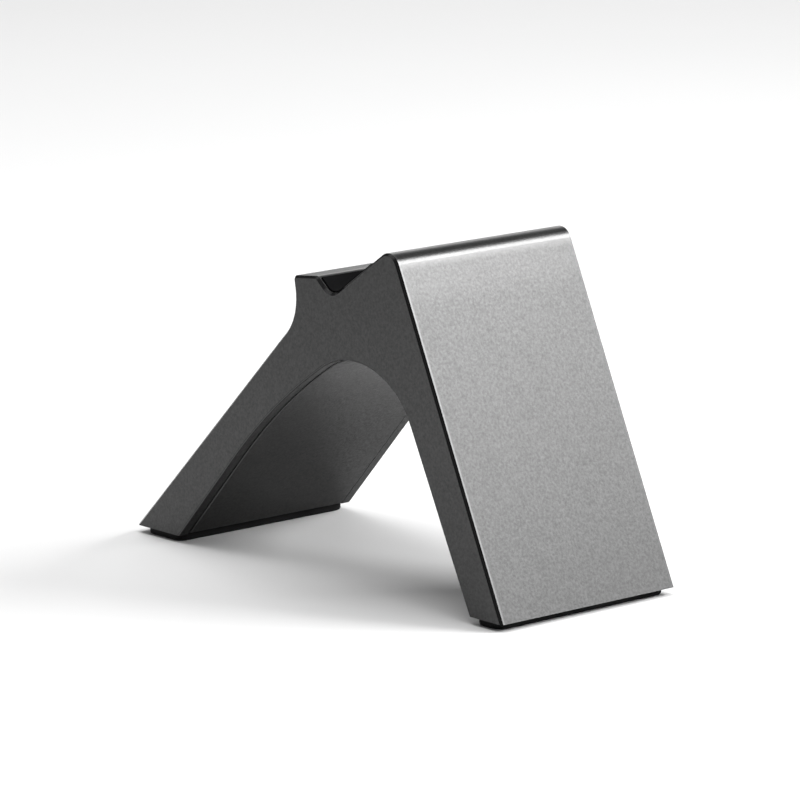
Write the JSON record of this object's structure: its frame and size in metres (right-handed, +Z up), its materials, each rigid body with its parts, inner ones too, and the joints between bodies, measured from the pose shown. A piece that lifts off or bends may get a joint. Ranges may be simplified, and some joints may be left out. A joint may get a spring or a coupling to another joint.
{
  "type": "game controller stand",
  "caption": "Low lambda-shaped metal desk stand that holds a game controller in a padded cradle between a broad leaning front leg and a rear leg.",
  "frame": {"origin": "on the table, under the middle of the footprint", "axes": "+X across the stand's width, -Y towards the broad leaning front face, +Z up"},
  "size_m": [0.045, 0.1084, 0.0673],
  "materials": {
    "anodised_body": "bead-blasted, anodised dark grey, with smoother cut edges",
    "anodised_cover": "bead-blasted, anodised dark grey",
    "cradle_rubber": "matt black",
    "foot_rubber": "matt black"
  },
  "bodies": {
    "root": {"housing": "anodised_body", "arch_cover": "anodised_cover", "cradle_pad": "cradle_rubber", "front_foot_pad": "foot_rubber", "rear_foot_pad": "foot_rubber"}
  },
  "joints": []
}
